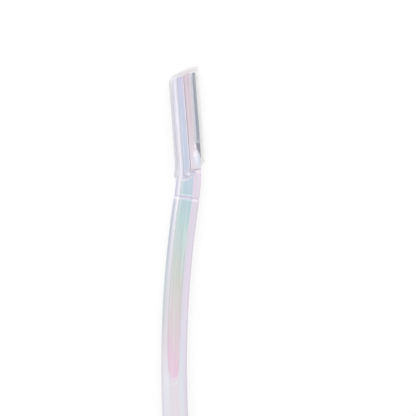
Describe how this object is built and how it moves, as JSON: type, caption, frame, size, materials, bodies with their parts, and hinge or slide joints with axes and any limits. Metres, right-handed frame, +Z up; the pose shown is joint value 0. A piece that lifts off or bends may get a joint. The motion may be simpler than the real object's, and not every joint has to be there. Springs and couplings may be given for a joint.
{
  "type": "eyebrow razor",
  "caption": "Slim disposable eyebrow razor: curved fluted handle, bent neck, slanted head that clamps a guarded straight blade, and a clear pull-off cap.",
  "frame": {"origin": "on the handle's flat back, under its middle line, at the point where the handle's long arc runs along Y", "axes": "+X across the handle towards the blade side, +Y along the handle towards the head, +Z up from the flat back to the fluted front face"},
  "size_m": [0.0163, 0.1501, 0.0058],
  "materials": {
    "handle_plastic": "translucent pearl with a pastel shimmer",
    "head_plastic": "translucent pearl with a pastel shimmer",
    "clamp_plastic": "translucent pearl with a pastel shimmer",
    "blade_steel": "ground stainless steel",
    "guard_steel": "dark rolled stainless steel",
    "cap_plastic": "clear, glossy"
  },
  "bodies": {
    "razor": {"handle": "handle_plastic", "head_carrier": "head_plastic", "clamp_plate": "clamp_plastic", "blade": "blade_steel", "edge_guard": "guard_steel"},
    "cap": {"cap": "cap_plastic"}
  },
  "joints": [
    {"name": "cap_pull", "type": "slide", "parent": "razor", "child": "cap", "axis": [-0.074, 0.9973, 0], "range_m": [0, 0.045]}
  ]
}
